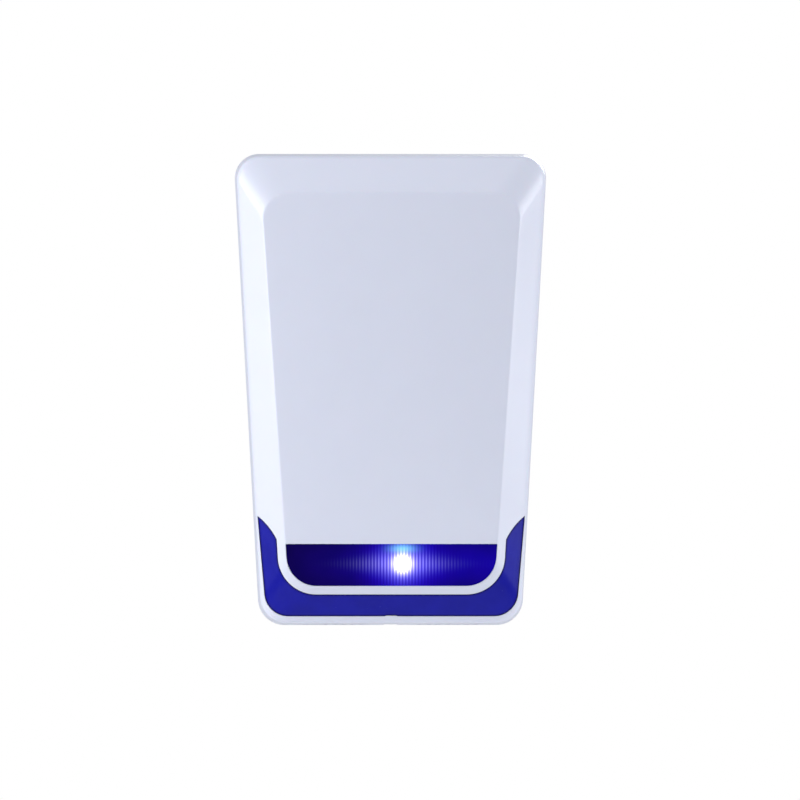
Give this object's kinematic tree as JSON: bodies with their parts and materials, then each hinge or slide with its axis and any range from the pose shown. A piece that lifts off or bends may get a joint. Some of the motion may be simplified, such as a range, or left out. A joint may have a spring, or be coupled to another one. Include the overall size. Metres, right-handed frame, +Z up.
{
  "type": "alarm siren",
  "caption": "Self-contained outdoor alarm siren: tapered white cover hinged on a wall tray, ribbed blue strobe window, blue side lens, piezo horn, backup battery and tamper switches.",
  "frame": {"origin": "centre of the four wall-screw holes, on the wall plane", "axes": "+Z up, +Y into the wall, +X to the right as seen from the front; the front faces -Y"},
  "size_m": [0.1982, 0.074, 0.3],
  "materials": {
    "tray_plastic": "fine satin moulded plastic",
    "cover_plastic": "semi-gloss UV-stable moulded plastic",
    "seal_rubber": "matte rubber",
    "window_blue": "clear deep-blue moulded lens with vertical ribs",
    "lens_blue": "smooth blue moulded lens",
    "stainless_steel": "brushed stainless steel",
    "brass": "turned brass",
    "horn_plastic": "moulded plastic",
    "zinc_steel": "bright zinc-plated steel",
    "galvanised_steel": "spangled galvanised sheet",
    "board_green": "solder-masked circuit board",
    "board_white": "white solder-masked circuit board",
    "terminal_green": "moulded plastic",
    "capacitor_sleeve": "shrink sleeve with a bare metal top",
    "copper_coil": "enamelled copper winding",
    "chip_black": "moulded epoxy",
    "red_plastic": "moulded plastic",
    "white_plastic": "moulded nylon",
    "battery_plastic": "textured moulded plastic",
    "tin_plate": "tin-plated brass",
    "lamp_resin": "clear lamp domes on white bases",
    "reflector_chrome": "vacuum-metallised plastic",
    "switch_black": "moulded plastic",
    "spring_steel": "spring steel wire",
    "vial_green": "acrylic vial with green liquid",
    "wire_red": "PVC insulation",
    "wire_black": "PVC insulation",
    "wire_white": "PVC insulation",
    "wire_blue": "PVC insulation",
    "wire_grey": "PVC insulation"
  },
  "bodies": {
    "base": {"rear_tray": "tray_plastic", "tray_seal": "seal_rubber", "hinge_pin_left": "stainless_steel", "hinge_pin_right": "stainless_steel", "screw_insert": "brass", "siren_horn": "horn_plastic", "horn_plug": "horn_plastic", "piezo_disc": "brass", "horn_cap": "horn_plastic", "horn_screws": "zinc_steel", "inner_shield": "galvanised_steel", "shield_screws": "zinc_steel", "circuit_board": "board_green", "board_screws": "zinc_steel", "terminal_block": "terminal_green", "terminal_screws": "zinc_steel", "capacitors": "capacitor_sleeve", "drive_coil": "copper_coil", "chips": "chip_black", "power_transistors": "chip_black", "status_lamp": "red_plastic", "wire_sockets": "white_plastic", "dip_switch": "red_plastic", "battery_case": "battery_plastic", "battery_terminals": "tin_plate", "battery_strap": "galvanised_steel", "strap_screws": "zinc_steel", "strobe_board": "board_white", "strobe_lamps": "lamp_resin", "strobe_reflector": "reflector_chrome", "strobe_screws": "zinc_steel", "cover_tamper_switch": "switch_black", "wall_tamper_switch": "switch_black", "level_holder": "tray_plastic", "level_vial": "vial_green", "cable_grommet": "seal_rubber", "battery_lead_red": "wire_red", "battery_lead_black": "wire_black", "siren_leads": "wire_white", "strobe_leads": "wire_blue", "cover_tamper_leads": "wire_grey", "wall_tamper_leads": "wire_grey"},
    "cover": {"front_cover": "cover_plastic", "strobe_window": "window_blue", "side_lens": "lens_blue", "sound_mesh": "stainless_steel"},
    "screw_carrier": {"screw_washer": "stainless_steel"},
    "screw": {"cover_screw": "stainless_steel"},
    "cover_plunger": {"cover_tamper_plunger": "red_plastic", "cover_tamper_spring": "spring_steel"},
    "wall_plunger": {"wall_tamper_plunger": "red_plastic", "wall_tamper_spring": "spring_steel"},
    "slider_1": {"dip_slider_1": "white_plastic"},
    "slider_2": {"dip_slider_2": "white_plastic"},
    "slider_3": {"dip_slider_3": "white_plastic"},
    "slider_4": {"dip_slider_4": "white_plastic"}
  },
  "joints": [
    {"name": "cover_hinge", "type": "hinge", "parent": "base", "child": "cover", "pos_m": [0, -0.016, 0.143], "axis": [-1, 0, 0], "range_deg": [0, 95]},
    {"name": "screw_travel", "type": "slide", "parent": "base", "child": "screw_carrier", "axis": [0, 0, -1], "range_m": [0, 0.01]},
    {"name": "screw_turn", "type": "hinge", "parent": "screw_carrier", "child": "screw", "pos_m": [0, -0.024, -0.14], "axis": [0, 0, -1], "range_deg": [0, 5144]},
    {"name": "cover_plunger_travel", "type": "slide", "parent": "base", "child": "cover_plunger", "axis": [0, -1, 0], "range_m": [0, 0.0025]},
    {"name": "wall_plunger_travel", "type": "slide", "parent": "base", "child": "wall_plunger", "axis": [0, 1, 0], "range_m": [0, 0.0025], "stiffness_N_per_m": 100, "springref_m": 0.004},
    {"name": "dip_1_travel", "type": "slide", "parent": "base", "child": "slider_1", "axis": [0, 0, 1], "range_m": [0, 0.0015]},
    {"name": "dip_2_travel", "type": "slide", "parent": "base", "child": "slider_2", "axis": [0, 0, 1], "range_m": [0, 0.0015]},
    {"name": "dip_3_travel", "type": "slide", "parent": "base", "child": "slider_3", "axis": [0, 0, 1], "range_m": [0, 0.0015]},
    {"name": "dip_4_travel", "type": "slide", "parent": "base", "child": "slider_4", "axis": [0, 0, 1], "range_m": [0, 0.0015]}
  ],
  "couplings": [
    {"joint": "screw_turn", "follows": "screw_travel", "rad_per_m": 8976},
    {"joint": "cover_plunger_travel", "follows": "cover_hinge", "m_per_rad": 0.0015}
  ]
}
